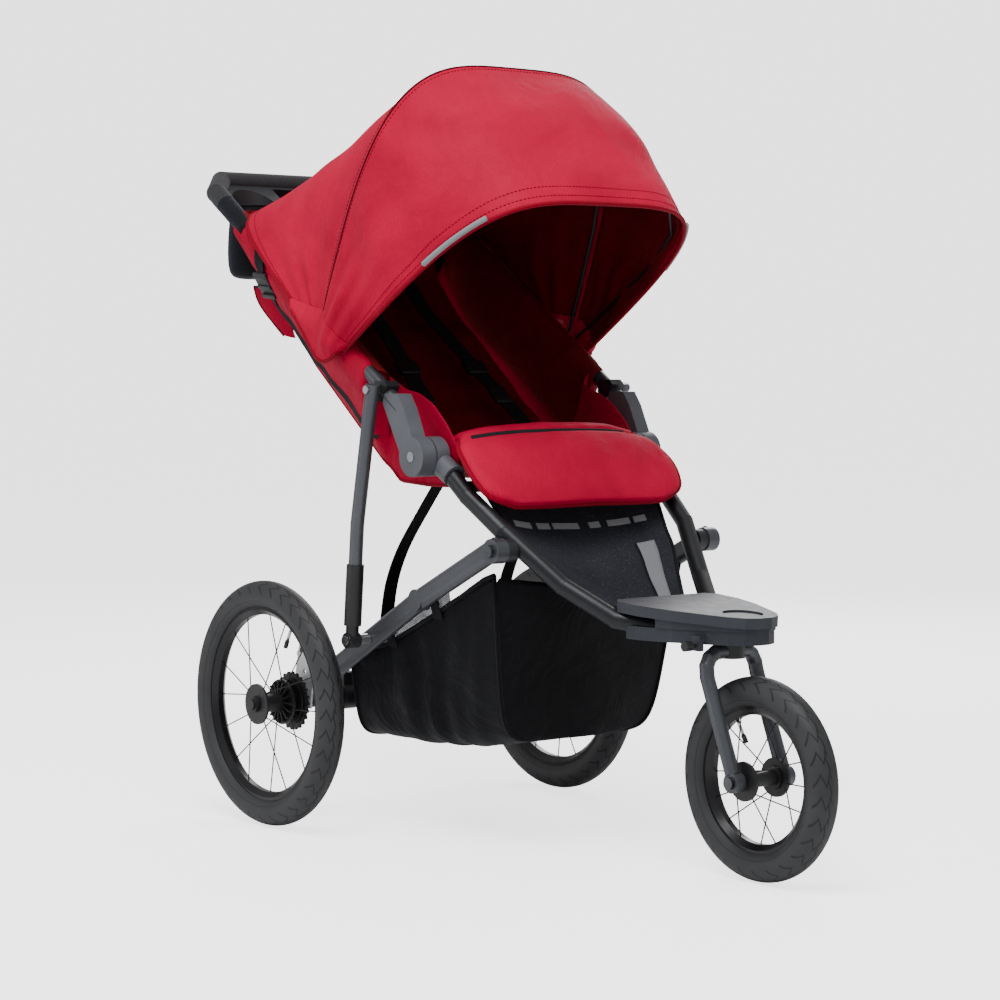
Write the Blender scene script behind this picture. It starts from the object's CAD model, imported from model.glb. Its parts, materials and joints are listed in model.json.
import bpy
import json
import math
import numpy as np
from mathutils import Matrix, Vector, noise

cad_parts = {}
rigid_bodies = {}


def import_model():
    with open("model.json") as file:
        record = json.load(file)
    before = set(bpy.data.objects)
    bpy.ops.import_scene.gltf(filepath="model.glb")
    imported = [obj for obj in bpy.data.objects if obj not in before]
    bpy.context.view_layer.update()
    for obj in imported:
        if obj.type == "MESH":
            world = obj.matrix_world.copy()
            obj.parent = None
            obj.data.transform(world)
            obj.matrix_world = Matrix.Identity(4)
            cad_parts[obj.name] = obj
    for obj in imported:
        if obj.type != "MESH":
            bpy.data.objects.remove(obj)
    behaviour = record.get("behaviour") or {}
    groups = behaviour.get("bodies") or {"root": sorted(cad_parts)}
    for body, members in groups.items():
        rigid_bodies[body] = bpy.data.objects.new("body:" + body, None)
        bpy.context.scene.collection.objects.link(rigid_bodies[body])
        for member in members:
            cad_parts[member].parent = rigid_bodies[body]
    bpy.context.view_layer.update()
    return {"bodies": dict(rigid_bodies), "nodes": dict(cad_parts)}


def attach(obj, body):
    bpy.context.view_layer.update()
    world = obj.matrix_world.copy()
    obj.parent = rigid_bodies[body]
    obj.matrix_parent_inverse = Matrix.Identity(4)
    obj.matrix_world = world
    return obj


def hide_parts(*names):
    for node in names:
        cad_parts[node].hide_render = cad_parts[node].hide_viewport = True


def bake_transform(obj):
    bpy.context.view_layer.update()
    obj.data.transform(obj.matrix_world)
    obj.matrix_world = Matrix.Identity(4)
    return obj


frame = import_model()
PI = math.pi
C0 = np.array([0.246, 0.785])


# ------------------------------------------------------------------ node helpers
class Mat:
    def __init__(self, name):
        self.m = bpy.data.materials.new(name)
        self.m.use_nodes = True
        self.t = self.m.node_tree
        self.b = self.t.nodes["Principled BSDF"]

    def n(self, kind, **kw):
        node = self.t.nodes.new("ShaderNode" + kind)
        for k, v in kw.items():
            if k.startswith("i_"):
                key = k[2:].replace("_", " ")
                key = int(key) if key.isdigit() else key
                if isinstance(v, bpy.types.NodeSocket):
                    self.t.links.new(v, node.inputs[key])
                else:
                    node.inputs[key].default_value = v
            else:
                setattr(node, k, v)
        return node

    def link(self, a, b):
        self.t.links.new(a, b)

    def math(self, op, a, b=0.0, clamp=False):
        node = self.n("Math", operation=op, use_clamp=clamp)
        for i, v in enumerate((a, b)):
            if isinstance(v, bpy.types.NodeSocket):
                self.link(v, node.inputs[i])
            else:
                node.inputs[i].default_value = v
        return node.outputs[0]

    def ramp(self, fac, stops):
        r = self.n("ValToRGB")
        self.link(fac, r.inputs[0])
        e = r.color_ramp.elements
        while len(e) < len(stops):
            e.new(0.5)
        for i, (p, c) in enumerate(stops):
            e[i].position = p
            e[i].color = (*c, 1.0)
        return r.outputs[0]

    def noise(self, co, scale, detail=4.0, rough=0.55, dist=0.0):
        x = self.n("TexNoise", i_Scale=scale, i_Detail=detail, i_Roughness=rough, i_Distortion=dist)
        self.link(co, x.inputs["Vector"])
        return x.outputs["Fac"]

    def mixc(self, fac, a, b, mode="MIX"):
        x = self.n("Mix", data_type="RGBA", blend_type=mode)
        for sock, v in ((x.inputs[0], fac), (x.inputs[6], a), (x.inputs[7], b)):
            if isinstance(v, bpy.types.NodeSocket):
                self.link(v, sock)
            elif isinstance(v, tuple):
                sock.default_value = (*v, 1.0)
            else:
                sock.default_value = v
        return x.outputs[2]

    def bump(self, h, strength, dist, normal=None):
        x = self.n("Bump", i_Strength=strength, i_Distance=dist)
        self.link(h, x.inputs["Height"])
        if normal is not None:
            self.link(normal, x.inputs["Normal"])
        return x.outputs[0]

    def co(self, kind="Object"):
        return self.n("TexCoord").outputs[kind]

    def set(self, **kw):
        for k, v in kw.items():
            key = k.replace("_", " ")
            if isinstance(v, bpy.types.NodeSocket):
                self.link(v, self.b.inputs[key])
            elif isinstance(v, tuple) and len(v) == 3 and key in ("Base Color", "Sheen Tint", "Specular Tint"):
                self.b.inputs[key].default_value = (*v, 1.0)
            else:
                self.b.inputs[key].default_value = v
        return self.m


def paint(name, col, rough=0.38, metal=0.55, fleck=0.25):
    m = Mat(name)
    c = m.co()
    big = m.noise(c, 7.0, 5.0)
    fine = m.noise(c, 900.0, 2.0)
    base = m.ramp(big, [(0.3, tuple(x * 0.84 for x in col)), (0.7, tuple(x * 1.14 for x in col))])
    base = m.mixc(m.math("MULTIPLY", m.math("GREATER_THAN", fine, 0.63), fleck), base, tuple(min(1, x * 2.4) for x in col))
    r = m.math("ADD", m.math("MULTIPLY", m.noise(c, 40.0, 6.0), 0.16), rough - 0.08)
    nrm = m.bump(m.noise(c, 420.0, 3.0), 0.08, 0.0006)
    return m.set(Base_Color=base, Roughness=r, Metallic=metal, Normal=nrm, Coat_Weight=0.12, Coat_Roughness=0.3)


def plastic(name, col, rough=0.5, grain=0.22, scale=520.0):
    m = Mat(name)
    c = m.co()
    base = m.ramp(m.noise(c, 11.0, 5.0), [(0.3, tuple(x * 0.82 for x in col)), (0.72, tuple(x * 1.2 for x in col))])
    scuff = m.math("GREATER_THAN", m.noise(c, 70.0, 8.0, 0.7, 1.5), 0.66)
    base = m.mixc(m.math("MULTIPLY", scuff, 0.25), base, tuple(min(1, x * 1.8 + 0.01) for x in col))
    r = m.math("ADD", m.math("MULTIPLY", m.noise(c, 55.0, 5.0), 0.2), rough - 0.1)
    v = m.n("TexVoronoi", i_Scale=scale)
    m.link(c, v.inputs["Vector"])
    nrm = m.bump(v.outputs["Distance"], grain, 0.0005)
    return m.set(Base_Color=base, Roughness=r, Normal=nrm)


def steel(name, col, rough=0.3, metal=1.0):
    m = Mat(name)
    c = m.co()
    mp = m.n("Mapping", i_Scale=(30.0, 500.0, 500.0))
    m.link(c, mp.inputs["Vector"])
    s = m.noise(mp.outputs[0], 1.0, 3.0)
    base = m.ramp(m.noise(c, 25.0, 5.0), [(0.3, tuple(x * 0.8 for x in col)), (0.7, tuple(min(1, x * 1.1) for x in col))])
    return m.set(Base_Color=base, Metallic=metal, Roughness=m.math("ADD", m.math("MULTIPLY", s, 0.25), rough - 0.1), Normal=m.bump(s, 0.06, 0.0004))


def foam(name, col):
    m = Mat(name)
    c = m.co()
    base = m.ramp(m.noise(c, 260.0, 3.0), [(0.35, tuple(x * 0.6 for x in col)), (0.65, tuple(x * 1.35 for x in col))])
    v = m.n("TexVoronoi", i_Scale=700.0)
    m.link(c, v.inputs["Vector"])
    nrm = m.bump(v.outputs["Distance"], 0.5, 0.0006, m.bump(m.noise(c, 30.0, 4.0), 0.15, 0.002))
    return m.set(Base_Color=base, Roughness=0.86, Normal=nrm, Sheen_Weight=0.1)


def rubber(name, cx, cy, cz, rad, sec):
    """Tread worked out from the angle about the wheel's own axle and the distance from its middle plane."""
    m = Mat(name)
    c = m.co()
    s = m.n("SeparateXYZ")
    m.link(c, s.inputs[0])
    x = m.math("SUBTRACT", s.outputs[0], cx)
    y = m.math("SUBTRACT", s.outputs[1], cy)
    z = m.math("SUBTRACT", s.outputs[2], cz)
    ang = m.math("ARCTAN2", z, y)
    ax = m.math("ABSOLUTE", x)
    side = m.math("SIGN", x)
    blocks = round(rad * 2 * PI / 0.034)
    ph = m.math("MULTIPLY", ang, blocks / (2 * PI))
    # slanted, bent grooves running from the shoulder in towards the middle
    bend = m.math("PINGPONG", m.math("MULTIPLY", ax, 95.0), 0.55)
    ph1 = m.math("ADD", ph, m.math("MULTIPLY", bend, 1.0))
    ph1 = m.math("ADD", ph1, m.math("MULTIPLY", side, 0.25))
    saw = m.math("ABSOLUTE", m.math("SUBTRACT", m.math("FRACT", ph1), 0.5))
    groove = m.math("LESS_THAN", saw, 0.085)
    r2 = m.math("SQRT", m.math("ADD", m.math("MULTIPLY", y, y), m.math("MULTIPLY", z, z)))
    on_tread = m.math("MULTIPLY", m.math("GREATER_THAN", r2, rad - sec * 0.86), m.math("GREATER_THAN", ax, 0.0035))
    groove = m.math("MULTIPLY", groove, on_tread)
    rib = m.math("LESS_THAN", m.math("ABSOLUTE", m.math("SUBTRACT", ax, m.math("ADD", 0.0045, m.math("MULTIPLY", m.math("PINGPONG", ph, 0.5), 0.008)))), 0.0011)
    groove = m.math("MAXIMUM", groove, m.math("MULTIPLY", rib, m.math("GREATER_THAN", r2, rad - sec * 0.6)))
    ring = m.math("LESS_THAN", m.math("ABSOLUTE", m.math("SUBTRACT", r2, rad - sec * 1.45)), 0.0009)
    groove = m.math("MAXIMUM", groove, m.math("MULTIPLY", ring, 0.5))
    soil = m.noise(c, 18.0, 6.0)
    base = m.ramp(soil, [(0.3, (0.014, 0.0145, 0.0165)), (0.75, (0.028, 0.029, 0.033))])
    base = m.mixc(groove, base, (0.0008, 0.0008, 0.001))
    h = m.math("SUBTRACT", 1.0, groove)
    nrm = m.bump(h, 0.9, 0.0022, m.bump(m.noise(c, 500.0, 2.0), 0.15, 0.0005))
    return m.set(Base_Color=base, Roughness=m.math("ADD", m.math("MULTIPLY", soil, 0.2), 0.5), Normal=nrm)


def fabric(name, col, dark, rough=0.62, sheen=0.5, tint=(1.0, 0.55, 0.6), weave=0.0022, crease=0.35, heather=0.0, alpha=1.0):
    m = Mat(name)
    uv = m.co("UV")
    ob = m.co()
    s = m.n("SeparateXYZ")
    m.link(uv, s.inputs[0])
    su = m.math("SINE", m.math("MULTIPLY", s.outputs[0], 2 * PI / weave))
    sv = m.math("SINE", m.math("MULTIPLY", s.outputs[1], 2 * PI / weave))
    w = m.math("MULTIPLY", m.math("ADD", m.math("MULTIPLY", su, sv), 1.0), 0.5)
    big = m.noise(ob, 5.0, 5.0, 0.6, 0.6)
    base = m.ramp(big, [(0.3, dark), (0.68, col)])
    base = m.mixc(m.math("MULTIPLY", w, 0.22), base, tuple(x * 0.55 for x in dark))
    slub = m.noise(uv, 240.0, 4.0, 0.7)
    base = m.mixc(m.math("MULTIPLY", m.math("GREATER_THAN", slub, 0.6), 0.10 + heather), base, tuple(min(1, x * 1.7 + heather * 0.12) for x in col))
    wr = m.noise(ob, 9.0, 5.0, 0.55, 1.4)
    fine = m.noise(ob, 38.0, 4.0, 0.6, 0.8)
    nrm = m.bump(wr, crease, 0.012)
    nrm = m.bump(fine, crease * 0.5, 0.003, nrm)
    nrm = m.bump(w, 0.35, 0.0005, nrm)
    r = m.math("ADD", m.math("MULTIPLY", fine, 0.18), rough - 0.09)
    m.set(Base_Color=base, Roughness=r, Normal=nrm, Sheen_Weight=sheen, Sheen_Roughness=0.45, Sheen_Tint=tint, Specular_IOR_Level=0.08)
    if alpha < 1.0:
        hole = m.math("GREATER_THAN", m.math("ADD", m.math("MULTIPLY", m.math("ABSOLUTE", su), 0.5), m.math("MULTIPLY", m.math("ABSOLUTE", sv), 0.5)), alpha)
        m.link(hole, m.b.inputs["Alpha"])
    return m.m


# ------------------------------------------------------------------ mesh helpers
def new_mesh(name, verts, faces, mat, uvs=None, smooth=True):
    me = bpy.data.meshes.new(name)
    me.from_pydata([tuple(v) for v in verts], [], faces)
    me.update()
    if uvs is None:
        uvs = [(v[1] * 0.7 + v[0], v[2] + v[1] * 0.3) for v in verts]
    layer = me.uv_layers.new(name="UVMap")
    for loop in me.loops:
        layer.data[loop.index].uv = uvs[loop.vertex_index]
    for p in me.polygons:
        p.use_smooth = smooth
    o = bpy.data.objects.new(name, me)
    bpy.context.scene.collection.objects.link(o)
    me.materials.append(mat)
    return o


def apply_mods(o):
    bpy.context.view_layer.update()
    dg = bpy.context.evaluated_depsgraph_get()
    me = bpy.data.meshes.new_from_object(o.evaluated_get(dg))
    o.modifiers.clear()
    o.data = me
    return o


def arc(P, axis):
    d = np.linalg.norm(np.diff(P, axis=axis), axis=2)
    return np.concatenate([np.zeros_like(np.take(d, [0], axis=axis)), np.cumsum(d, axis=axis)], axis=axis)


def normals(P):
    du, dv = np.gradient(P, axis=0), np.gradient(P, axis=1)
    n = np.cross(du, dv)
    return n / np.maximum(np.linalg.norm(n, axis=2, keepdims=True), 1e-9)


def sheet(name, P, mat, thick=0.002, sub=1):
    """A cloth sheet through a grid of points."""
    n, m = P.shape[:2]
    U, V = arc(P, 0), arc(P, 1)
    faces = [(i * m + j, (i + 1) * m + j, (i + 1) * m + j + 1, i * m + j + 1) for i in range(n - 1) for j in range(m - 1)]
    o = new_mesh(name, P.reshape(-1, 3), faces, mat, list(zip(V.ravel(), U.ravel())))
    s = o.modifiers.new("s", "SOLIDIFY")
    s.thickness, s.offset = thick, 0
    if sub:
        o.modifiers.new("d", "SUBSURF").levels = sub
        o.modifiers["d"].render_levels = sub
    return apply_mods(o)


def pad(name, P, top, bot, mat, sub=1):
    """A filled pad: top and bottom are thickness fields over the grid, zero at the border."""
    n, m = P.shape[:2]
    N = normals(P)
    T, B = P + N * top[..., None], P - N * bot[..., None]
    U, V = arc(P, 0), arc(P, 1)
    idx = np.arange(n * m).reshape(n, m)
    low = idx.copy()
    verts, uv, k = list(T.reshape(-1, 3)), list(zip(V.ravel(), U.ravel())), n * m
    for i in range(1, n - 1):
        for j in range(1, m - 1):
            low[i, j] = k
            verts.append(B[i, j])
            uv.append((V[i, j], U[i, j]))
            k += 1
    faces = []
    for i in range(n - 1):
        for j in range(m - 1):
            faces.append((idx[i, j], idx[i + 1, j], idx[i + 1, j + 1], idx[i, j + 1]))
            faces.append((low[i, j + 1], low[i + 1, j + 1], low[i + 1, j], low[i, j]))
    o = new_mesh(name, verts, [tuple(int(x) for x in f) for f in faces], mat, uv)
    if sub:
        o.modifiers.new("d", "SUBSURF").levels = sub
        o.modifiers["d"].render_levels = sub
        apply_mods(o)
    return o


def tube(name, pts, r, mat, n=8, closed=False):
    pts = [Vector(p) for p in pts]
    k = len(pts)
    verts, faces, uv = [], [], []
    ref = None
    run = 0.0
    for i, p in enumerate(pts):
        a = pts[(i - 1) % k] if (closed or i > 0) else p
        b = pts[(i + 1) % k] if (closed or i < k - 1) else p
        t = (b - a).normalized()
        if ref is None:
            ref = t.orthogonal()
        ref = (ref - t * ref.dot(t)).normalized()
        bi = t.cross(ref)
        if i:
            run += (p - pts[i - 1]).length
        for j in range(n):
            q = 2 * PI * j / n
            verts.append(p + ref * (r * math.cos(q)) + bi * (r * math.sin(q)))
            uv.append((run, j * 2 * PI * r / n))
    for i in range(k if closed else k - 1):
        for j in range(n):
            i2, j2 = (i + 1) % k, (j + 1) % n
            faces.append((i * n + j, i * n + j2, i2 * n + j2, i2 * n + j))
    if not closed:
        faces.append(tuple(range(n))[::-1])
        faces.append(tuple((k - 1) * n + j for j in range(n)))
    return new_mesh(name, verts, faces, mat, uv)


def ribbon(name, pts, side, width, thick, mat, steps=6):
    """A flat strap along a polyline; side is the direction of its width."""
    pts = smooth_line(pts, steps)
    verts, uv, faces, run = [], [], [], 0.0
    side = Vector(side).normalized()
    for i, p in enumerate(pts):
        p = Vector(p)
        t = (Vector(pts[min(i + 1, len(pts) - 1)]) - Vector(pts[max(i - 1, 0)])).normalized()
        s = (side - t * side.dot(t)).normalized()
        nn = t.cross(s)
        if i:
            run += (p - Vector(pts[i - 1])).length
        for a, b in ((-1, -1), (-0.8, -1.25), (0.8, -1.25), (1, -1), (1, 1), (0.8, 1.25), (-0.8, 1.25), (-1, 1)):
            verts.append(p + s * (a * width / 2) + nn * (b * thick / 2))
            uv.append((a * width / 2, run))
    k = 8
    for i in range(len(pts) - 1):
        for j in range(k):
            faces.append((i * k + j, i * k + (j + 1) % k, (i + 1) * k + (j + 1) % k, (i + 1) * k + j))
    faces.append(tuple(range(k))[::-1])
    faces.append(tuple((len(pts) - 1) * k + j for j in range(k)))
    return new_mesh(name, verts, faces, mat, uv, smooth=False)


def smooth_line(pts, steps):
    pts = [np.array(p, float) for p in pts]
    out = []
    for i in range(len(pts) - 1):
        p0, p1, p2, p3 = pts[max(i - 1, 0)], pts[i], pts[i + 1], pts[min(i + 2, len(pts) - 1)]
        for k in range(steps):
            t = k / steps
            out.append(0.5 * (2 * p1 + (p2 - p0) * t + (2 * p0 - 5 * p1 + 4 * p2 - p3) * t * t + (3 * p1 - p0 - 3 * p2 + p3) * t ** 3))
    out.append(pts[-1])
    return [tuple(float(x) for x in p) for p in out]


def block(name, centre, size, mat, rot=(0, 0, 0), bevel=0.002):
    x, y, z = (s / 2 for s in size)
    v = [(a, b, c) for a in (-x, x) for b in (-y, y) for c in (-z, z)]
    f = [(0, 1, 3, 2), (4, 6, 7, 5), (0, 4, 5, 1), (2, 3, 7, 6), (0, 2, 6, 4), (1, 5, 7, 3)]
    o = new_mesh(name, v, f, mat, smooth=False)
    o.rotation_euler = rot
    o.location = centre
    b = o.modifiers.new("b", "BEVEL")
    b.width, b.segments = bevel, 3
    apply_mods(o)
    bpy.context.view_layer.update()
    o.data.transform(o.matrix_world)
    o.matrix_world.identity()
    for p in o.data.polygons:
        p.use_smooth = True
    return o


def stitches(name, line, mat, step=0.0065, length=0.0042, r=0.0007, off=None):
    """Short raised threads along a line; off is how far to lift them, per point."""
    line = [Vector(p) for p in line]
    verts, faces = [], []
    d = [0.0]
    for a, b in zip(line, line[1:]):
        d.append(d[-1] + (b - a).length)
    s, i = step / 2, 0
    while s < d[-1] - length:
        while i < len(d) - 2 and d[i + 1] < s:
            i += 1
        t = (s - d[i]) / max(d[i + 1] - d[i], 1e-9)
        p = line[i].lerp(line[i + 1], t)
        u = (line[i + 1] - line[i]).normalized()
        o1 = u.orthogonal().normalized()
        o2 = u.cross(o1)
        k = len(verts)
        for e, q in ((-0.5, 0.4), (-0.3, 1), (0.3, 1), (0.5, 0.4)):
            for a in range(6):
                g = 2 * PI * a / 6
                verts.append(p + u * (e * length) + o1 * (r * q * math.cos(g)) + o2 * (r * q * math.sin(g)))
        for e in range(3):
            for a in range(6):
                faces.append((k + e * 6 + a, k + e * 6 + (a + 1) % 6, k + (e + 1) * 6 + (a + 1) % 6, k + (e + 1) * 6 + a))
        faces.append(tuple(k + a for a in range(6))[::-1])
        faces.append(tuple(k + 18 + a for a in range(6)))
        s += step
    return new_mesh(name, verts, faces, mat)


def put(o, body, slot, *rep):
    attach(o, body)
    if rep:
        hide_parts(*rep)
    return o


def bend(o, a, b, start, end, slot, weight=None, rep=()):
    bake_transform(o)
    if weight is not None:
        co = np.array([v.co for v in o.data.vertices], float)
        w = np.clip(weight(co), 0, 1)
    if rep:
        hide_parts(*rep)
    return o


def fbm(P, scale, seed=0.0):
    flat = P.reshape(-1, 3)
    out = np.array([noise.noise(Vector((p[0] * scale + seed, p[1] * scale - seed, p[2] * scale + 2 * seed))) for p in flat])
    return out.reshape(P.shape[:-1])


# ------------------------------------------------------------------ materials
RED = fabric("red_satin_weave", (0.56, 0.0003, 0.042), (0.38, 0.0002, 0.027), 0.62, 0.05, (1.0, 0.25, 0.35), crease=0.30)
RED_SEAT = fabric("red_seat_weave", (0.46, 0.0003, 0.033), (0.31, 0.0002, 0.021), 0.68, 0.05, (1.0, 0.25, 0.35), crease=0.5)
RED_TRIM = fabric("red_binding", (0.30, 0.0005, 0.016), (0.20, 0.0004, 0.010), 0.6, 0.06, (1.0, 0.3, 0.4), weave=0.0012, crease=0.1)
LINING = fabric("lining", (0.17, 0.003, 0.008), (0.10, 0.002, 0.005), 0.8, 0.04, (1.0, 0.3, 0.3), crease=0.35)
SEATIN = fabric("seat_inner_weave", (0.19, 0.004, 0.009), (0.11, 0.0025, 0.006), 0.75, 0.04, (1.0, 0.3, 0.3), crease=0.45)
CALF = fabric("heathered_charcoal", (0.030, 0.032, 0.040), (0.009, 0.010, 0.013), 0.8, 0.04, tint=(0.8, 0.85, 1), weave=0.0034, heather=0.30, crease=0.3)
BLACK = fabric("black_basket_cloth", (0.0055, 0.0055, 0.0070), (0.0025, 0.0025, 0.0032), 0.55, 0.05, tint=(0.8, 0.85, 1), crease=0.5)
MESH = fabric("open_mesh", (0.30, 0.31, 0.33), (0.20, 0.205, 0.22), 0.7, 0.05, tint=(1, 1, 1), weave=0.0046, crease=0.1, alpha=0.47)
WEB = fabric("black_webbing", (0.010, 0.010, 0.012), (0.005, 0.005, 0.006), 0.6, 0.06, tint=(0.8, 0.85, 1), weave=0.0032, crease=0.1)
REFL = fabric("grey_reflective_binding", (0.30, 0.31, 0.33), (0.22, 0.23, 0.25), 0.45, 0.05, tint=(1, 1, 1), weave=0.0014, crease=0.05)
THREAD = fabric("red_thread", (0.26, 0.002, 0.011), (0.18, 0.0015, 0.008), 0.5, 0.1, (1.0, 0.3, 0.4), weave=0.0008, crease=0.0)
DTHREAD = fabric("dark_thread", (0.020, 0.021, 0.025), (0.011, 0.011, 0.014), 0.5, 0.08, tint=(1, 1, 1), weave=0.0008, crease=0.0)
DARKPIPE = fabric("dark_red_piping", (0.075, 0.002, 0.005), (0.045, 0.0012, 0.003), 0.55, 0.08, (1.0, 0.3, 0.4), weave=0.0012, crease=0.05)
NEO = fabric("black_neoprene", (0.0095, 0.0105, 0.014), (0.0050, 0.0055, 0.0075), 0.62, 0.10, tint=(0.7, 0.8, 1), weave=0.0012, crease=0.15)
TUBE = paint("charcoal_paint", (0.066, 0.070, 0.080))
TUBE_D = paint("dark_frame_paint", (0.014, 0.015, 0.018), 0.42)
STRUT = paint("strut_paint", (0.086, 0.091, 0.104), 0.42)
HUBP = plastic("grey_hub_plastic", (0.082, 0.087, 0.101), 0.5)
BLK = plastic("black_plastic", (0.0075, 0.0078, 0.0092), 0.48)
CONS = plastic("console_plastic", (0.010, 0.0115, 0.015), 0.6, 0.3, 800.0)
FOOT = plastic("footplate_plastic", (0.042, 0.046, 0.055), 0.42, 0.35, 700.0)
FOOT_D = plastic("footplate_under_plastic", (0.026, 0.029, 0.037), 0.45, 0.35, 700.0)
for mt_, lv_ in ((FOOT, 0.16), (FOOT_D, 0.25)):
    for nd_ in mt_.node_tree.nodes:
        if nd_.type == "BSDF_PRINCIPLED":
            nd_.inputs["Specular IOR Level"].default_value = lv_
STEEL = steel("bright_steel", (0.56, 0.57, 0.59), 0.28)
DSTEEL = steel("dark_rivet_steel", (0.10, 0.105, 0.115), 0.35)
PLATE = steel("white_zinc_plate", (0.74, 0.75, 0.76), 0.45, 0.75)
SPOKE = steel("black_spoke", (0.03, 0.03, 0.033), 0.3)
RIM = paint("black_rim", (0.007, 0.007, 0.009), 0.3, 0.4, 0.05)
FOAM = foam("grip_foam", (0.012, 0.013, 0.016))

# ------------------------------------------------------------------ hard parts carried over
node_mat = {
    "front_tubes": TUBE_D, "cross_bar": TUBE_D, "pivot_brackets": BLK, "head_block": FOOT_D, "footplate": FOOT, "footplate_tray": FOOT_D, "inner_hubs": HUBP,
    "hub_bolts": STEEL, "fork_legs": TUBE, "fork_crown": BLK, "fork_dropouts": TUBE, "swivel_lock_knob": BLK, "front_axle": steel("dark_axle", (0.12, 0.12, 0.13), 0.3),
    "front_rim": RIM, "left_rim": RIM, "right_rim": RIM, "front_spokes": SPOKE, "left_spokes": SPOKE, "right_spokes": SPOKE,
    "front_hub": BLK, "left_hub": BLK, "right_hub": BLK, "left_brake_disc": BLK, "right_brake_disc": BLK, "left_cap": BLK, "right_cap": BLK,
    "lower_tubes": TUBE, "joint_rivets": DSTEEL, "rear_axle_tube": TUBE_D, "axle_clamps": BLK, "foot_pins": STEEL, "brake_plates": PLATE, "stub_axles": STEEL,
    "brake_pedal": BLK, "strut_tubes": STRUT, "strut_sleeves": BLK, "strut_rivets": STEEL, "handle_tube": TUBE, "handle_grip": FOAM, "outer_hubs": HUBP,
    "strut_lugs": BLK, "console": CONS, "canopy_mounts": BLK, "main_bow": TUBE_D, "bow_pivots": BLK, "front_bow": TUBE_D,
    "front_tyre": rubber("front_tread", 0, -0.5, 0.15, 0.15, 0.023), "left_tyre": rubber("left_tread", -0.305, 0.332, 0.2, 0.2, 0.0225),
    "right_tyre": rubber("right_tread", 0.305, 0.332, 0.2, 0.2, 0.0225),
}
BEVEL = {"footplate": 0.0055, "footplate_tray": 0.001, "head_block": 0.006, "outer_hubs": 0.004, "inner_hubs": 0.003, "console": 0.006, "strut_lugs": 0.003,
         "canopy_mounts": 0.002, "brake_plates": 0.0006, "brake_pedal": 0.003, "axle_clamps": 0.003, "left_hub": 0.0012, "right_hub": 0.0012, "front_hub": 0.0012,
         "left_brake_disc": 0.0006, "right_brake_disc": 0.0006, "pivot_brackets": 0.001, "hub_bolts": 0.0008, "left_cap": 0.002, "right_cap": 0.002}
for n, o in frame["nodes"].items():
    o.data.materials.clear()
    o.data.materials.append(node_mat.get(n, RED))
    if n in BEVEL:
        b = o.modifiers.new("bevel", "BEVEL")
        b.width, b.segments, b.limit_method, b.angle_limit = BEVEL[n], 3, "ANGLE", math.radians(38)
        b.harden_normals = False


# ------------------------------------------------------------------ canopy
def bowp(phi, a, b, n, u, c=C0):
    s = (2 * u) ** 2.1 / 2 if u < 0.5 else 1 - (2 * (1 - u)) ** 2.1 / 2
    t = PI * s
    r = b * max(math.sin(t), 1e-6) ** (2 / n)
    x = -a * math.copysign(abs(math.cos(t)) ** (2 / n), math.cos(t))
    return np.array([x, c[0] + r * math.cos(math.radians(phi)), c[1] + r * math.sin(math.radians(phi))])


MAIN = lambda u: bowp(112, 0.266, 0.4735, 3.7, u)
REAR = lambda u: bowp(39.5, 0.257, 0.362, 7.0, u)
RIMC = lambda u: bowp(147.5, 0.252, 0.4885, 4.0, u, np.array([0.2488, 0.735]))


def panel(f, g, k, m, bulge, u0, u1=None):
    P = np.zeros((k + 1, m + 1, 3))
    c = np.array([0, C0[0], C0[1]])
    for i in range(k + 1):
        v = i / k
        for j in range(m + 1):
            w = j / m
            ua, ub = u0 + (1 - 2 * u0) * w, (u1 or u0) + (1 - 2 * (u1 or u0)) * w
            A, B = f(ua), g(ub)
            M = A * (1 - v) + B * v
            out = M - c
            L = np.linalg.norm(out)
            P[i, j] = M + out / max(L, 1e-6) * bulge * 4 * v * (1 - v) * min(1, L / 0.3)
    return P


def canopy_angle(co):
    return np.degrees(np.arctan2(co[:, 2] - C0[1], co[:, 1] - C0[0]))


W_REAR = lambda co: (canopy_angle(co) - 38) / (111 - 38)
W_VIS = lambda co: (canopy_angle(co) - 112) / (147.5 - 112)
REAR_ENDS = ((0, 0.53, 1.0), (0, 0.08, 1.23))
VIS_ENDS = ((0, 0.08, 1.23), (0, -0.16, 1.0))


def canopy(o, which, slot="red_fabric", rep=()):
    if which == "rear":
        return bend(o, "handle", "main_canopy_bow", *REAR_ENDS, slot, W_REAR, rep)
    return bend(o, "main_canopy_bow", "front_canopy_bow", *VIS_ENDS, slot, W_VIS, rep)


K, MM = ((30, 150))
Pr = panel(REAR, MAIN, K, MM, -0.014, 0.045)
Nr = normals(Pr)
U = np.linspace(0, 1, MM + 1)[None, :]
V = np.linspace(0, 1, K + 1)[:, None]
edge = np.sin(PI * V)
sidem = np.clip(np.abs(U - 0.5) * 2, 0, 1) ** 1.5
# folds fanning out of the pivots, and slack between the bows
fold = np.sin(V * 26 + fbm(Pr, 5.0) * 3) * np.exp(-((np.abs(U - 0.5) - 0.40) / 0.10) ** 2) * 0.0030
slack = fbm(Pr, 6.5, 3.1) * 0.007 + fbm(Pr, 16.0, 7.7) * 0.0034
slack += np.sin((U * 9 + V * 4) * PI + fbm(Pr, 4.0, 1.0) * 4) * 0.0012
Pr = Pr + Nr * ((fold + slack) * edge)[..., None]
canopy(sheet("canopy_rear_panel", Pr, RED, 0.0016), "rear", rep=("canopy_rear",))

Pv = panel(MAIN, RIMC, K, MM, 0.0165, 0.045, 0.062)
Nv = normals(Pv)
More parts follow.
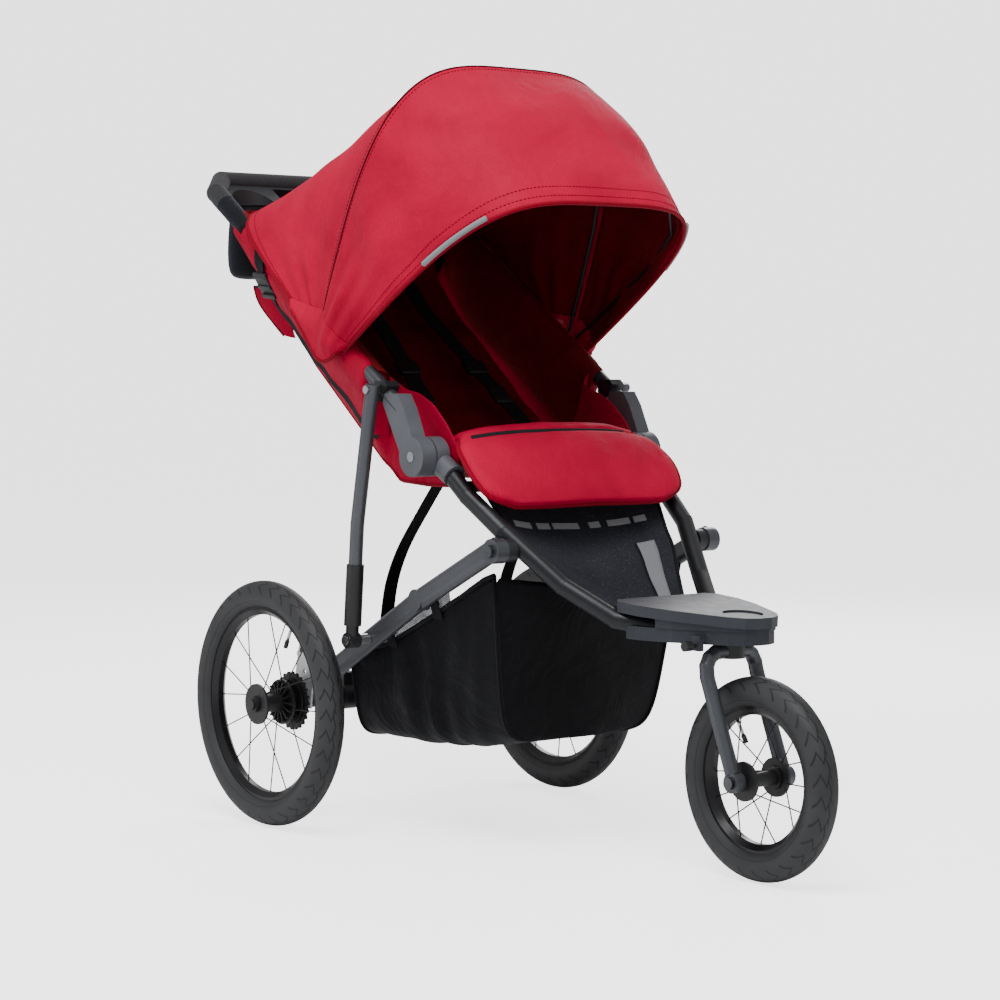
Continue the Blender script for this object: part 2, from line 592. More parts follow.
# vertical drape: shallow flutes running from the main bow to the rim, deeper at the corners
flute = np.sin(U * 31 * PI * 0.5 + fbm(Pv, 3.2, 5.0) * 4.5) * (0.0017 + 0.0048 * np.exp(-((np.abs(U - 0.5) - 0.30) / 0.10) ** 2))
fold = np.sin(V * 20 + fbm(Pv, 4.5, 2.0) * 3) * np.exp(-((np.abs(U - 0.5) - 0.42) / 0.08) ** 2) * 0.0035
slack = fbm(Pv, 5.5, 9.1) * 0.008 + fbm(Pv, 15.0, 4.4) * 0.0032
Pv = Pv + Nv * ((flute + fold + slack) * np.sin(PI * V))[..., None]
canopy(sheet("canopy_visor_panel", Pv, RED, 0.0016), "visor", rep=("canopy_visor",))


def row(P, N, v, lift):
    x = v * (P.shape[0] - 1)
    i = min(int(x), P.shape[0] - 2)
    t = x - i
    q = P[i] * (1 - t) + P[i + 1] * t + N[i] * lift
    return [tuple(p) for p in q]


sgn = 1 if Nv[K // 2, MM // 2, 2] > 0 or Nv[K // 2, MM // 2, 1] < 0 else -1
up_r = 1 if Nr[K // 2, MM // 2, 2] > 0 else -1
up_v = 1 if Nv[K // 2, MM // 2, 2] > 0 else -1
canopy(tube("canopy_rim_binding", row(Pv, Nv, 1.0, 0), 0.0036, RED_TRIM), "visor")
canopy(tube("canopy_main_seam", row(Pr, Nr, 1.0, 0.0006 * up_r), 0.0016, DARKPIPE), "rear")
canopy(tube("canopy_rear_hem", row(Pr, Nr, 0.0, 0), 0.0030, RED_TRIM), "rear")
canopy(stitches("canopy_rim_stitch_a", row(Pv, Nv, 0.955, 0.0010 * up_v), THREAD), "visor")
canopy(stitches("canopy_rim_stitch_b", row(Pv, Nv, 0.90, 0.0010 * up_v), THREAD), "visor")
canopy(stitches("canopy_seam_stitch_a", row(Pv, Nv, 0.03, 0.0010 * up_v), THREAD), "visor")
canopy(stitches("canopy_seam_stitch_b", row(Pr, Nr, 0.96, 0.0010 * up_r), THREAD), "rear")
canopy(stitches("canopy_hem_stitch", row(Pr, Nr, 0.05, 0.0010 * up_r), THREAD), "rear")
rimrow = row(Pv, Nv, 0.985, 0.0040 * up_v)
a, b = int(MM * 0.235), int(MM * 0.375)
canopy(tube("canopy_reflector_left", rimrow[a:b], 0.0046, REFL), "visor")
canopy(tube("canopy_reflector_right", rimrow[MM - b:MM - a], 0.0046, REFL), "visor")
# the cloth carries on below each pivot as one rounded corner
for col, sx, nm in ((0, -1, "left"), (-1, 1, "right")):
    for tag, P0, ctrl in (("rear", Pr, [(0.076, 0.056), (0.054, 0.034), (0.032, 0.010), (0.016, -0.008), (0.004, -0.020)]),
                          ("visor", Pv, [(0.004, -0.020), (-0.010, -0.0275), (-0.024, -0.0290), (-0.040, -0.0235), (-0.0545, -0.0135)])):
        E = P0[:, 3 if col == 0 else -4]
        hem = np.array(smooth_line(ctrl, 12))
        hem = hem[np.linspace(0, len(hem) - 1, len(E)).round().astype(int)]
        hem = np.stack([np.full(len(E), sx * 0.2665), C0[0] + hem[:, 0], C0[1] + hem[:, 1]], axis=1)
        if tag == "rear":
            hem[0] = P0[0, col]
        else:
            hem[-1] = P0[-1, col]
        q = np.linspace(0, 1, 9)[:, None, None]
        G = E[None] * (1 - q) + hem[None] * q
        G[..., 0] += sx * (0.0012 * (1 - q[..., 0]) + 0.009 * np.sin(PI * q[..., 0]) ** 1.5 * np.sin(PI * np.linspace(0.06, 0.94, len(E)))[None])
        G[..., 0] += fbm(G, 14.0, 3.3) * 0.003 * q[..., 0]
        if tag == "rear":
            lap = G[:, -4:-1]
        else:
            G = np.concatenate([lap, G], axis=1)
        canopy(sheet("canopy_corner_%s_%s" % (tag, nm), G, RED, 0.0016), tag)
        canopy(tube("canopy_corner_hem_%s_%s" % (tag, nm), [tuple(p) for p in G[-1]], 0.0032, RED_TRIM), tag)
# dark lining, one sheet just inside each panel
canopy(sheet("canopy_rear_lining", Pr[1:-1, 2:-2] - Nr[1:-1, 2:-2] * 0.006 * up_r, LINING, 0.001, 0), "rear")
canopy(sheet("canopy_visor_lining", Pv[1:-1, 2:-2] - Nv[1:-1, 2:-2] * 0.006 * up_v, LINING, 0.001, 0), "visor")


# ------------------------------------------------------------------ seat
def grid(rows, m, sag=(0, 0), n=None):
    """rows of (y, z, half width) smoothed along their length, spread across X."""
    line = smooth_line(rows, n or 5)
    P = np.zeros((len(line), m + 1, 3))
    for i, r in enumerate(line):
        for j in range(m + 1):
            u = 2 * j / m - 1
            P[i, j] = (u * r[2], r[0] + sag[0] * (1 - u * u), r[1] + sag[1] * (1 - u * u))
    return P


def puff(P, h, seams_u=(), seams_v=(), width=0.035, edge_w=0.06):
    n, m = P.shape[:2]
    u, v = np.linspace(0, 1, m)[None, :], np.linspace(0, 1, n)[:, None]
    e = np.clip(np.minimum(np.minimum(u, 1 - u) / edge_w, np.minimum(v, 1 - v) / edge_w), 0, 1)
    t = h * np.sqrt(1 - (1 - e) ** 2)
    for s in seams_u:
        t = t * (1 - 0.62 * np.exp(-((u - s) / width) ** 2))
    for s in seams_v:
        t = t * (1 - 0.62 * np.exp(-((v - s) / width) ** 2))
    t = t + (fbm(P, 22.0, 1.7) * 0.0022 + fbm(P, 9.0, 4.2) * 0.003) * np.clip(t / max(h, 1e-6), 0, 1)
    t[0], t[-1], t[:, 0], t[:, -1] = 0, 0, 0, 0
    return t


m_ = 46
Pb = grid([(0.152, 0.600, 0.166), (0.232, 0.668, 0.168), (0.361, 0.772, 0.169), (0.478, 0.874, 0.168), (0.507, 0.945, 0.158)], m_, (0.008, -0.008), 9)
nb = 1 if normals(Pb)[5, 5, 2] > 0 else -1
if nb < 0:
    Pb = Pb[:, ::-1]
put(pad("seat_back_pad", Pb, puff(Pb, 0.016, (0.2, 0.8), (0.30, 0.62)), puff(Pb, 0.010), SEATIN), "seat_back_body", "red_fabric", "seat_back")
Pc = grid([(-0.040, 0.592, 0.168), (0.0, 0.603, 0.170), (0.06, 0.594, 0.171), (0.12, 0.586, 0.170), (0.143, 0.594, 0.168)], m_, (0, -0.006), 7)
if normals(Pc)[5, 5, 2] < 0:
    Pc = Pc[:, ::-1]
put(pad("seat_bottom_pad", Pc, puff(Pc, 0.014, (0.25, 0.75)), puff(Pc, 0.012), SEATIN), "front_frame", "red_fabric", "seat_cushion")

# the cloth that closes the crease between the cushion and the seat back
Px = grid([(0.122, 0.580, 0.166), (0.146, 0.577, 0.166), (0.168, 0.585, 0.166), (0.187, 0.602, 0.166), (0.204, 0.618, 0.166)], m_, (0, 0), 5)
Px[..., 2] += fbm(Px, 10.0, 8.1) * 0.002
bend(sheet("seat_crease", Px, SEATIN, 0.0018), "handle", "seat_back_body", (0, 0.13, 0.58), (0, 0.18, 0.60), "red_fabric", lambda co: (co[:, 1] - 0.132) / 0.048)

rows_b = [(0.496, 0.905, 0.166), (0.512, 0.945, 0.172), (0.521, 0.985, 0.205), (0.524, 1.012, 0.226)]
Pq = grid(rows_b, m_, (0.004, 0.0), 4)
Pq = Pq + normals(Pq) * (fbm(Pq, 9.0, 6.6) * 0.004)[..., None]
bend(sheet("seat_rear_panel", Pq, LINING, 0.0020), "handle", "seat_back_body", (0, 0.524, 1.012), (0, 0.505, 0.925), "red_fabric", lambda co: (1.005 - co[:, 2]) / 0.075)

# front flap: a padded apron over the cross bar, with a piped border and a slit pocket
Pf = grid([(0.018, 0.640, 0.172), (-0.012, 0.640, 0.178), (-0.042, 0.626, 0.200), (-0.072, 0.601, 0.209), (-0.095, 0.574, 0.206), (-0.110, 0.552, 0.192), (-0.119, 0.534, 0.150)], m_ + 14, (-0.004, 0.006), 7)
nf, mf = Pf.shape[:2]
uu = np.linspace(-1, 1, mf)[None, :]
vv = np.linspace(0, 1, nf)[:, None]
Pf[..., 2] -= 0.010 * np.abs(uu) ** 4 * (1 - vv)
Pf[..., 2] += -0.006 * vv ** 3 * (1 - np.abs(uu) ** 3)
if normals(Pf)[nf // 2, mf // 2, 1] > 0:
    Pf = Pf[:, ::-1]
Nf = normals(Pf)
put(pad("front_flap_pad", Pf, puff(Pf, 0.012, (), (0.26,), 0.02, 0.07), puff(Pf, 0.003), RED), "front_frame", "red_fabric", "front_flap")
ring = [tuple(p) for p in np.concatenate([Pf[0, :], Pf[1:, -1], Pf[-1, ::-1][1:], Pf[::-1, 0][1:-1]])]
put(tube("front_flap_piping", ring, 0.0034, RED_TRIM, closed=True), "front_frame", "red_fabric")
def inset(k):
    return [tuple(p) for p in np.concatenate([(Pf + Nf * 0.0095)[k, k:-k], (Pf + Nf * 0.0095)[k + 1:-k, -k - 1], (Pf + Nf * 0.0095)[-k - 1, k:-k][::-1][1:]])]
put(stitches("front_flap_stitch", inset(4), THREAD), "front_frame", "red_fabric")
k = int(nf * 0.26)
slit = (Pf + Nf * 0.0072)[k, int(mf * 0.07):int(mf * 0.93)]
put(ribbon("front_flap_pocket_slit", [tuple(p) for p in slit[::4]], (0, -0.5, -0.85), 0.009, 0.0022, DTHREAD, 4), "front_frame", "black_fabric")


# side wings: handle line on top, seat shell line below
def interp(pts, s):
    pts = np.array(pts, float)
    d = np.concatenate([[0], np.cumsum(np.linalg.norm(np.diff(pts, axis=0), axis=1))])
    return np.array([np.interp(s * d[-1], d, pts[:, i]) for i in range(pts.shape[1])])


TOP = [(-0.020, 0.622), (0.010, 0.660), (0.045, 0.690), (0.080, 0.706), (0.112, 0.713), (0.246, 0.800), (0.400, 0.903), (0.522, 0.985)]
BOT = [(-0.020, 0.572), (0.020, 0.563), (0.070, 0.562), (0.146, 0.566), (0.248, 0.648), (0.377, 0.750), (0.500, 0.868), (0.540, 0.935)]


SPLIT = 0.116


def wing(sx):
    n, m = ((84, 30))
    P = np.zeros((n + 1, m + 1, 3))
    for i in range(n + 1):
        s = i / n
        T, B = interp(TOP, s), interp(BOT, s)
        k = np.clip((T[0] - 0.124) / 0.022, 0, 1)
        k = k * k * (3 - 2 * k)
        axis = 0.6793 + (T[0] - 0.060) * 0.678
        near = math.exp(-((T[0] - 0.247) / 0.024) ** 4)
        wide = 0.2465 + 0.0024 * near
        for j in range(m + 1):
            v = j / m
            q = T * (1 - v) + B * v
            x = 0.1835 + 0.004 * math.sin(PI * v) * min(1, s * 3) + (0.022 * (1 - v) ** 2 if s > 0.45 else 0.022 * (1 - v) ** 2 * max(0, (s - 0.2) / 0.25)) - 0.012 * v ** 3
            if s < 0.22:
                x = min(x, 0.1835)
            if k > 0:
                if v < 0.24:
                    xs = np.interp(v, [0, 0.06, 0.12, 0.24], [0.2320, 0.2420, wide, wide])
                    zs = axis + np.interp(v, [0, 0.06, 0.12, 0.24], [0.0190, 0.0150, 0.0040, -0.0150])
                    ys = T[0]
                else:
                    r = (v - 0.24) / 0.76
                    xs = wide + (0.1760 - wide) * r ** 1.25 + 0.004 * math.sin(PI * r)
                    zs = (axis - 0.0150) * (1 - r) + B[1] * r
                    ys = T[0] * (1 - r) + B[0] * r
                x, q = x * (1 - k) + xs * k, np.array([q[0] * (1 - k) + ys * k, q[1] * (1 - k) + zs * k])
            P[i, j] = (sx * x, q[0], q[1])
    N = normals(P)
    v = np.linspace(0, 1, m + 1)[None, :]
    f = np.sin(v * 9 + fbm(P, 9.0, 2.0) * 5) * 0.0018 + fbm(P, 12.0, 6.0) * 0.0045 + fbm(P, 30.0, 8.0) * 0.0014
    f = f * np.clip((v - 0.22) * 6, 0, 1)
    s_ = np.linspace(0, 1, n + 1)[:, None]
    P = P + N * (f * np.sin(PI * v) * np.clip((s_ - 0.2) * 5, 0.25, 1))[..., None]

    def w(co):
        t = np.clip((co[:, 1] - 0.15) / 0.1, 0, 1)
        top = np.interp(co[:, 1], [p[0] for p in TOP], [p[1] for p in TOP])
        bot = np.interp(co[:, 1], [p[0] for p in BOT], [p[1] for p in BOT])
        return t * np.clip((top - co[:, 2]) / np.maximum(top - bot, 1e-4), 0, 1)
    return P, w


for sx, nm in ((-1, "left"), (1, "right")):
    P, w = wing(sx)
    # the part beside the seat bends from the seat to the handle, the rest turns with the handle
    cut = int(np.argmax(P[:, 0, 1] > SPLIT))
    side = P[:cut + 1].copy()
    side[..., 0] -= sx * 0.0005
    turn = lambda co: (co[:, 1] - 0.022) / (SPLIT - 0.030)
    bend(sheet("seat_side_" + nm, side, RED_SEAT, 0.0022), "front_frame", "handle", (0, 0.0, 0.6), (0, 0.1, 0.7), "red_fabric", turn)
    bend(tube("seat_side_hem_" + nm, [tuple(p) for p in side[:, -1]], 0.0032, RED_TRIM), "front_frame", "handle", (0, 0.0, 0.6), (0, 0.1, 0.7), "red_fabric", turn)
    back = P[cut - 1:]
    o = sheet("side_wing_" + nm, back, RED_SEAT, 0.0022)
    ends = ((0, 0.246, 0.80), (0, 0.33, 0.70))
    bend(o, "handle", "seat_back_body", *ends, "red_fabric", w, ("side_wings",) if sx < 0 else ())
    bend(tube("wing_hem_" + nm, [tuple(p) for p in back[:, -1]], 0.0032, RED_TRIM), "handle", "seat_back_body", *ends, "red_fabric", w)
    rows = []
    for y in np.linspace(0.122, 0.520, 36):
        zt, zb = 0.6793 + (y - 0.060) * 0.678, np.interp(y, [p[0] for p in BOT], [p[1] for p in BOT])
        near = max(0.0, 1 - abs(y - 0.246) / 0.035)
        prof = [(0.2330, 0.0192), (0.2220, 0.0180 + 0.001 * near), (0.2120, 0.0120), (0.2075 - 0.002 * near, 0.0), (0.2060 - 0.002 * near, -0.016), (0.1980, -0.050), (0.1880, -0.090)]
        line = np.array(smooth_line([(x_, z_) for x_, z_ in prof], 4))
        rows.append([(sx * x_, y - 0.35 * min(0.0, z_), zt + z_) for x_, z_ in line])
    L = np.array(rows)
    L[..., 0] += sx * fbm(L, 16.0, 5.5) * 0.002
    bend(sheet("wing_lining_" + nm, L, SEATIN, 0.0016), "handle", "seat_back_body", *ends, "red_fabric", w)
    zl = [tuple(p + np.array([sx * 0.0035, 0, 0])) for p in P[int(P.shape[0] * 0.30):int(P.shape[0] * 0.93), int(P.shape[1] * 0.72)]]
    bend(ribbon("wing_zip_" + nm, zl[::3], (0, 0.6, -0.8), 0.009, 0.0016, DTHREAD, 3), "handle", "seat_back_body", *ends, "black_fabric", w)
    # recline strap down the outside of the wing, with its ladder-lock adjuster
    i0 = int(np.argmin(np.abs(P[:, 0, 1] - 0.435)))
    js = range(int(P.shape[1] * 0.10), int(P.shape[1] * 0.97), 3)
    st = [P[max(i0 - q // 2, 0), j_] + np.array([sx * 0.0045, 0, 0]) for q, j_ in enumerate(js)]
    bend(ribbon("recline_strap_" + nm, [tuple(p) for p in st], (0, 0.83, 0.56), 0.024, 0.002, WEB, 4), "handle", "seat_back_body", *ends, "black_fabric", w, ("recline_straps",) if sx < 0 else ())
    mid = st[len(st) // 2]
    tilt = math.atan2((st[len(st) // 2 - 1] - st[len(st) // 2 + 1])[0] * sx, (st[len(st) // 2 - 1] - st[len(st) // 2 + 1])[2])
    for dz, hh, th, tag in ((0.0, 0.042, 0.006, "frame"), (0.011, 0.007, 0.010, "bar_top"), (-0.004, 0.007, 0.010, "bar_low"), (-0.019, 0.008, 0.011, "lip")):
        c_ = (mid[0] + sx * (0.0045 + math.sin(tilt) * dz), mid[1] + dz * 0.10, mid[2] + dz)
        bend(block("recline_adjuster_%s_%s" % (tag, nm), c_, (th, 0.034, hh), BLK, (0.12, sx * tilt, 0), 0.0015), "handle", "seat_back_body", *ends, "black_plastic", w)

    if sx < 0:
        tip = [[(-0.180, 0.470, 0.868), (-0.186, 0.505, 0.879), (-0.188, 0.548, 0.884)], [(-0.178, 0.462, 0.845), (-0.186, 0.498, 0.850), (-0.187, 0.540, 0.862)], [(-0.176, 0.452, 0.818), (-0.184, 0.482, 0.822), (-0.185, 0.512, 0.834)], [(-0.175, 0.442, 0.795), (-0.180, 0.456, 0.797), (-0.182, 0.470, 0.800)]]
        Pt = np.array([smooth_line(r, 6) for r in tip])
        Pt = np.array([[smooth_line([tuple(q) for q in Pt[:, c]], 6)[r] for c in range(Pt.shape[1])] for r in range(19)])
        Pt[..., 0] += fbm(Pt, 20.0, 2.2) * 0.004
        put(sheet("seat_back_flap", Pt, RED_SEAT, 0.0024), "seat_back_body", "red_fabric")
        put(tube("seat_back_flap_edge", [tuple(q) for q in np.concatenate([Pt[0], Pt[1:, -1]])], 0.0022, DARKPIPE), "seat_back_body", "red_fabric")

# shoulder straps with comfort pads and adjusters, and the crotch strap with its buckle
for sx, nm in ((-1, "left"), (1, "right")):
    pts = [(sx * 0.050, 0.462, 0.905), (sx * 0.056, 0.400, 0.834), (sx * 0.064, 0.330, 0.778), (sx * 0.074, 0.258, 0.720), (sx * 0.086, 0.196, 0.668), (sx * 0.096, 0.150, 0.626)]
    pts = [(p[0], p[1] - 0.008, p[2] + 0.012) for p in pts]
    put(ribbon("shoulder_strap_" + nm, pts, (1, 0, 0), 0.030, 0.0028, WEB), "seat_back_body", "black_fabric", *(("shoulder_straps",) if sx < 0 else ()))
    put(block("shoulder_adjuster_" + nm, (sx * 0.071, 0.266, 0.745), (0.042, 0.030, 0.009), BLK, (0.72, 0, 0)), "seat_back_body", "black_plastic")
    put(block("strap_end_" + nm, (sx * 0.080, 0.212, 0.700), (0.034, 0.040, 0.007), BLK, (0.72, 0, 0)), "seat_back_body", "black_plastic")
put(ribbon("crotch_strap_web", [(0, 0.026, 0.604), (0, 0.026, 0.624), (0, 0.032, 0.638), (0, 0.046, 0.642)], (1, 0, 0), 0.028, 0.003, WEB), "front_frame", "black_fabric", "crotch_strap")
put(block("crotch_buckle", (0, 0.044, 0.645), (0.050, 0.044, 0.012), BLK, (0.10, 0, 0), 0.004), "front_frame", "black_plastic")

# ------------------------------------------------------------------ calf panel
Pk = grid([(-0.072, 0.556, 0.172), (-0.096, 0.522, 0.164), (-0.122, 0.490, 0.154), (-0.155, 0.460, 0.141), (-0.200, 0.420, 0.112), (-0.240, 0.394, 0.084), (-0.262, 0.385, 0.066)], m_, (0.026, -0.014), 8)
kn = normals(Pk)
Pk = Pk + kn * ((fbm(Pk, 14.0, 3.0) * 0.003 + fbm(Pk, 35.0, 1.0) * 0.001) * np.sin(np.linspace(0, PI, Pk.shape[0]))[:, None])[..., None]
put(sheet("calf_panel_cloth", Pk, CALF, 0.0026), "front_frame", "calf_fabric", "calf_panel")
up_k = 1 if kn[5, 5, 2] > 0 else -1
put(tube("calf_panel_edge_left", [tuple(p) for p in Pk[:, 0]], 0.0032, WEB), "front_frame", "black_fabric")
put(tube("calf_panel_edge_right", [tuple(p) for p in Pk[:, -1]], 0.0032, WEB), "front_frame", "black_fabric")
nk, mk = Pk.shape[:2]
for q, (ua, ub) in enumerate(((0.06, 0.20), (0.24, 0.32), (0.35, 0.52), (0.57, 0.64), (0.68, 0.80), (0.84, 0.90))):
    a, b = int(round(mk * ua)), int(round(mk * ub))
    seg = (Pk + kn * 0.0030 * up_k)[int(nk * 0.235), a:max(b, a + 2) + 1]
    put(ribbon("calf_reflective_dash_%d" % q, [tuple(p) for p in seg], (0, 0.6, 0.8), 0.011, 0.0012, REFL, 1), "front_frame", "calf_fabric")
wa, wb = int(mk * 0.80), int(mk * 0.90)
put(sheet("calf_mesh_window", (Pk + kn * 0.0022 * up_k)[int(nk * 0.42):int(nk * 0.93), wa:wb + 1], MESH, 0.0006, 0), "front_frame", "calf_fabric")
put(tube("calf_window_edge", [tuple(p) for p in (Pk + kn * 0.0026 * up_k)[int(nk * 0.42):int(nk * 0.93), wa]], 0.0016, WEB), "front_frame", "black_fabric")

# ------------------------------------------------------------------ basket
BT = [(0.262, 0.280), (0.170, 0.300), (0.053, 0.352), (-0.030, 0.392), (-0.090, 0.424), (-0.116, 0.432)]
BB = [(0.286, 0.139), (0.170, 0.146), (0.060, 0.153), (-0.020, 0.160), (-0.072, 0.166), (-0.090, 0.169)]


def basket_at(s, t):
    T, B = interp(BT, s), interp(BB, s)
    q = PI * (1 + t)
    cx = -math.copysign(abs(math.cos(q - PI)) ** (2 / 9.0), math.cos(q - PI))
    dz = abs(math.sin(q - PI)) ** (2 / 9.0)
    y = T[0] * (1 - dz) + B[0] * dz
    z = T[1] * (1 - dz) + B[1] * dz
    x = cx * (0.189 - 0.037 * dz)
    return np.array([x, y, z])


ns, mt = ((56, 84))
tt = np.linspace(0, 1, mt + 1)
tt = 0.5 - 0.5 * np.cos(PI * tt) * (0.75 + 0.25 * np.cos(PI * tt) ** 2)
tt = (tt - tt[0]) / (tt[-1] - tt[0])
PB = np.array([[basket_at(s, t) for t in tt] for s in np.linspace(0, 1, ns + 1)])
NB = normals(PB)
inward = -1 if NB[ns // 2, 3, 0] > 0 else 1
droop = np.clip(np.sin(PI * np.linspace(0, 1, mt + 1)), 0, 1)[None, :]
lon = np.sin(PI * np.linspace(0, 1, ns + 1))[:, None]
f = fbm(PB, 7.0, 5.0) * 0.010 + fbm(PB, 18.0, 2.0) * 0.0045 + np.sin(np.linspace(0, 1, ns + 1)[:, None] * 34 + fbm(PB, 5.0, 8.0) * 5) * 0.0016
PB = PB + NB * (f * lon)[..., None]
PB[..., 2] -= 0.007 * droop ** 2 * lon
half = (mt + 1) // 2


def cap(i, bow):
    R = PB[i]
    rows = []
    for j in range(half + 1):
        L, Q = R[j], R[mt - j]
        rows.append([L * (1 - w) + Q * w + np.array([0, bow * math.sin(PI * w), -0.018 * math.sin(PI * w) * (1 - j / half)]) for w in np.linspace(0, 1, 25)])
    G = np.array(rows)
    G = G + (fbm(G, 9.0, 3.3) * 0.006 * np.sin(np.linspace(0, PI, 25))[None, :])[..., None] * np.array([0, 1, 0])
    return G


put(sheet("basket_shell", PB, BLACK, 0.0020), "rear_frame", "black_fabric", "basket")
put(sheet("basket_rear_wall", cap(0, 0.006), BLACK, 0.0020), "rear_frame", "black_fabric")
put(sheet("basket_front_wall", cap(-1, -0.012), BLACK, 0.0020), "rear_frame", "black_fabric")
for row_, nm in ((0, "rear"), (-1, "front")):
    put(tube("basket_piping_" + nm, [tuple(p) for p in PB[row_]], 0.0036, BLACK), "rear_frame", "black_fabric")
rim_pts = [tuple(p) for p in PB[:, 0]]
put(tube("basket_rim_left", rim_pts, 0.0035, WEB), "rear_frame", "black_fabric")
put(tube("basket_rim_right", [tuple(p) for p in PB[:, -1]], 0.0035, WEB), "rear_frame", "black_fabric")
seamj = 3
put(stitches("basket_stitch_left", [tuple(p) for p in (PB - NB * 0.0016 * inward)[:, seamj]], DTHREAD, r=0.0008), "rear_frame", "black_fabric")
for sx, nm, jj in ((-1, "left", 0), (1, "right", -1)):
    # see-through mesh between the lower tube and the basket's rim
    e = PB[int(ns * 0.16):int(ns * 0.74), jj]
    G = np.array([[p * (1 - w) + np.array([sx * 0.196, p[1], p[2] + 0.028]) * w for p in e] for w in np.linspace(0, 1, 4)])
    put(sheet("basket_mesh_" + nm, G, MESH, 0.0008, 0), "rear_frame", "black_fabric")
for q, s in enumerate((0.03, 0.30, 0.62)):
    for sx in (-1, 1):
        p = basket_at(s, 0 if sx < 0 else 1)
        put(ribbon("basket_hanger_%d_%s" % (q, "l" if sx < 0 else "r"), [(p[0], p[1], p[2] - 0.012), (p[0] + sx * 0.008, p[1], p[2] + 0.012), (p[0] + sx * 0.013, p[1], p[2] + 0.026)], (0, 1, 0), 0.022, 0.002, WEB, 3), "rear_frame", "black_fabric")

# strap hanging from the seat to the rear of the frame
for sx, nm in ((-1, "left"), (1, "right")):
    hs = [(sx * 0.120, 0.110, 0.566), (sx * 0.122, 0.150, 0.520), (sx * 0.122, 0.206, 0.456), (sx * 0.121, 0.240, 0.400), (sx * 0.120, 0.256, 0.345), (sx * 0.120, 0.262, 0.292)]
    bend(ribbon("hanging_strap_" + nm, hs, (1, 0, 0.2), 0.026, 0.0024, WEB, 10), "front_frame", "rear_frame", (0, 0.11, 0.566), (0, 0.262, 0.292), "black_fabric")

# ------------------------------------------------------------------ soft covers on the console
def lathe(name, cx, cy, prof, mat, n=40, wob=0.0012):
    P = np.array([[(cx + (r + wob * math.sin(3 * a + z * 40)) * math.cos(a), cy + (r + wob * math.sin(2 * a - z * 50)) * math.sin(a), z) for a in np.linspace(0, 2 * PI, n + 1)] for r, z in prof])
    return sheet(name, P, mat, 0.0022)


for sx, nm in ((-1, "left"), (1, "right")):
    prof = [(0.0440, 1.020), (0.0446, 1.005), (0.0454, 0.985), (0.0462, 0.960), (0.0466, 0.938), (0.0462, 0.920), (0.0440, 0.908), (0.0385, 0.901), (0.028, 0.8985), (0.012, 0.898), (0.001, 0.898)]
    put(lathe("console_pocket_" + nm, sx * 0.1735, 0.5655, prof, NEO), "handle", "black_fabric")
    put(tube("console_pocket_hem_" + nm, [(sx * 0.1735 + 0.0445 * math.cos(a), 0.5655 + 0.0445 * math.sin(a), 1.0205) for a in np.linspace(0, 2 * PI, 40)[:-1]], 0.0022, WEB, closed=True), "handle", "black_fabric")
    cov = [(sx * 0.232, y, 0.6793 + (y - 0.060) * 0.678) for y in np.linspace(0.494, 0.574, 9)]
    put(tube("handle_sleeve_" + nm, cov, 0.0166, NEO, 24), "handle", "black_fabric")

# ------------------------------------------------------------------ small hard details
for sx, nm, c, rad in ((-1, "left", (-0.305, 0.332, 0.2), 0.2), (1, "right", (0.305, 0.332, 0.2), 0.2), (0, "front", (0, -0.5, 0.15), 0.15)):
    body = {"left": "left_wheel", "right": "right_wheel", "front": "front_wheel"}[nm]
    r0 = rad - 0.056
    ang = math.radians(118 if nm != "front" else 60)
    y0, z0 = math.cos(ang), math.sin(ang)
    put(tube("valve_" + nm, [(c[0], c[1] + y0 * r0, c[2] + z0 * r0), (c[0], c[1] + y0 * (r0 - 0.010), c[2] + z0 * (r0 - 0.010)), (c[0], c[1] + y0 * (r0 - 0.024), c[2] + z0 * (r0 - 0.024))], 0.0026, STEEL, 10), body, "bright_steel")
    put(tube("valve_cap_" + nm, [(c[0], c[1] + y0 * (r0 - 0.024), c[2] + z0 * (r0 - 0.024)), (c[0], c[1] + y0 * (r0 - 0.036), c[2] + z0 * (r0 - 0.036))], 0.0038, BLK, 10), body, "black_plastic")
put(tube("brake_cable", smooth_line([(-0.176, 0.322, 0.262), (-0.20, 0.336, 0.250), (-0.226, 0.350, 0.272), (-0.236, 0.338, 0.284)], 8), 0.0022, BLK), "rear_frame", "black_plastic")

# ------------------------------------------------------------------ floor, light and camera
fl = Mat("pale_floor")
fc = fl.co()
lp = fl.n("LightPath")
tone = fl.ramp(fl.noise(fc, 0.6, 3.0), [(0.3, (0.93, 0.93, 0.935)), (0.7, (0.96, 0.96, 0.96))])
fl.set(Base_Color=tone, Roughness=0.9, Specular_IOR_Level=0.1, Emission_Color=(1.0, 1.0, 1.0, 1.0), Emission_Strength=fl.math("MULTIPLY", lp.outputs["Is Camera Ray"], 2.07))
floor = new_mesh("floor", [(-60, -60, -0.0005), (60, -60, -0.0005), (60, 60, -0.0005), (-60, 60, -0.0005)], [(0, 1, 2, 3)], fl.m)
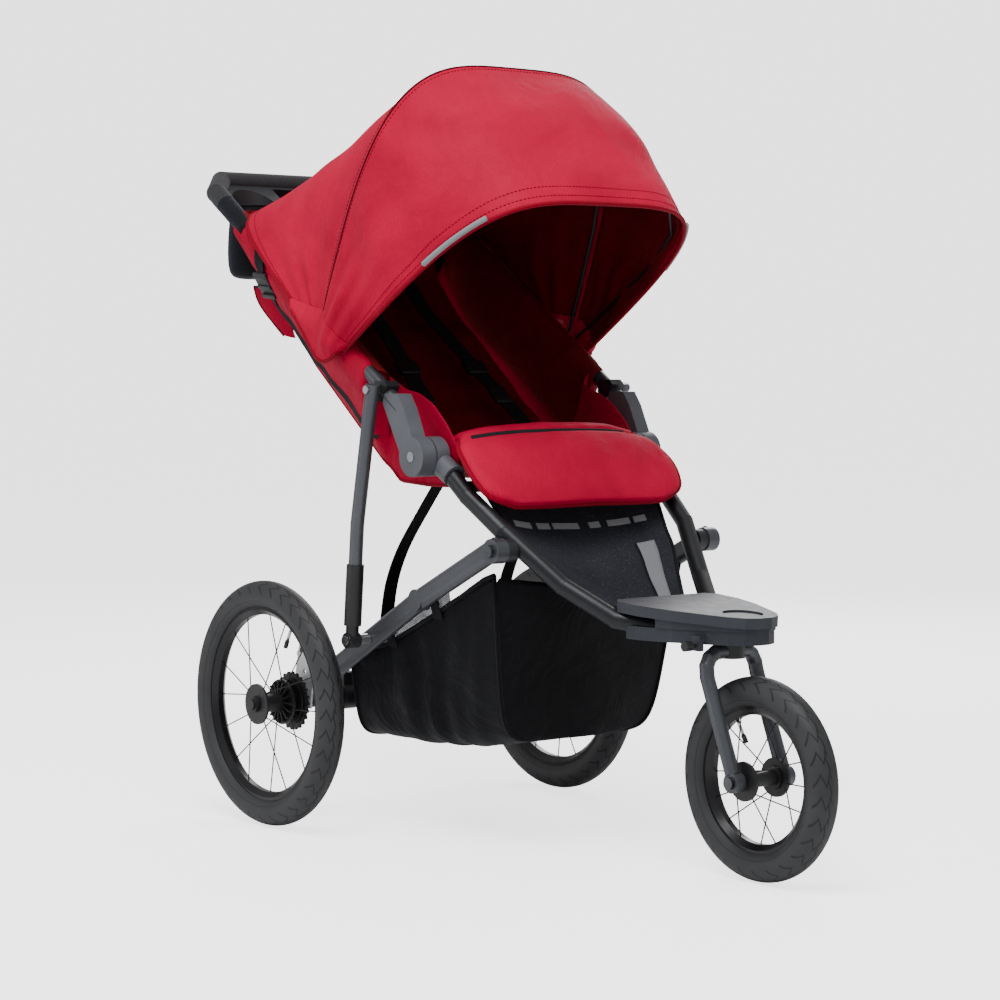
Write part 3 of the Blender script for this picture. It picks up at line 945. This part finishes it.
# the ground stays under the rear wheels when the rear frame swings down about its pivot
dr = floor.driver_add("location", 2).driver
dr.type = "SCRIPTED"
va = dr.variables.new()
va.name, va.type = "r", "TRANSFORMS"
va.targets[0].id = frame["bodies"]["rear_frame"]
va.targets[0].transform_type, va.targets[0].transform_space = "ROT_X", "WORLD_SPACE"
dr.expression = "min(0.0, 0.272 + 0.486 * sin(r) - 0.272 * cos(r))"
world = bpy.data.worlds.new("studio")
world.use_nodes = True
wt = world.node_tree
seen = wt.nodes.new("ShaderNodeLightPath")
gain = wt.nodes.new("ShaderNodeMapRange")
gain.inputs["To Min"].default_value, gain.inputs["To Max"].default_value = 0.56, 2.6
wt.links.new(seen.outputs["Is Camera Ray"], gain.inputs["Value"])
wt.nodes["Background"].inputs[0].default_value = (1.0, 1.0, 1.0, 1.0)
wt.links.new(gain.outputs["Result"], wt.nodes["Background"].inputs[1])
bpy.context.scene.world = world


def area(name, loc, target, size, power, col=(1, 1, 1)):
    d = bpy.data.lights.new(name, "AREA")
    d.size, d.energy, d.color = size, power, col
    o = bpy.data.objects.new(name, d)
    o.location = loc
    o.rotation_mode = "QUATERNION"
    o.rotation_quaternion = (Vector(target) - Vector(loc)).to_track_quat("-Z", "Y")
    bpy.context.scene.collection.objects.link(o)
    return o


lights = [area("key", (-1.3, -1.0, 3.6), (0, 0.1, 0.7), 2.0, 120), area("fill", (-3.6, 1.6, 1.6), (0, 0, 0.6), 2.2, 30), area("rim", (2.6, 2.2, 2.4), (0, 0, 0.8), 1.8, 60)]
cam = bpy.data.objects.new("camera", bpy.data.cameras.new("camera"))
bpy.context.scene.collection.objects.link(cam)
bpy.context.scene.camera = cam
az, el = math.radians(-38.30), math.radians(3.08)
back = Vector((math.sin(az) * math.cos(el), -math.cos(az) * math.cos(el), math.sin(el)))
cam.data.lens, cam.data.sensor_width = 93.06, 36.0
cam.location = (-2.607, -3.192, 0.757)
cam.rotation_mode = "QUATERNION"
cam.rotation_quaternion = (-back).to_track_quat("-Z", "Y")
cam.data.clip_end = 200
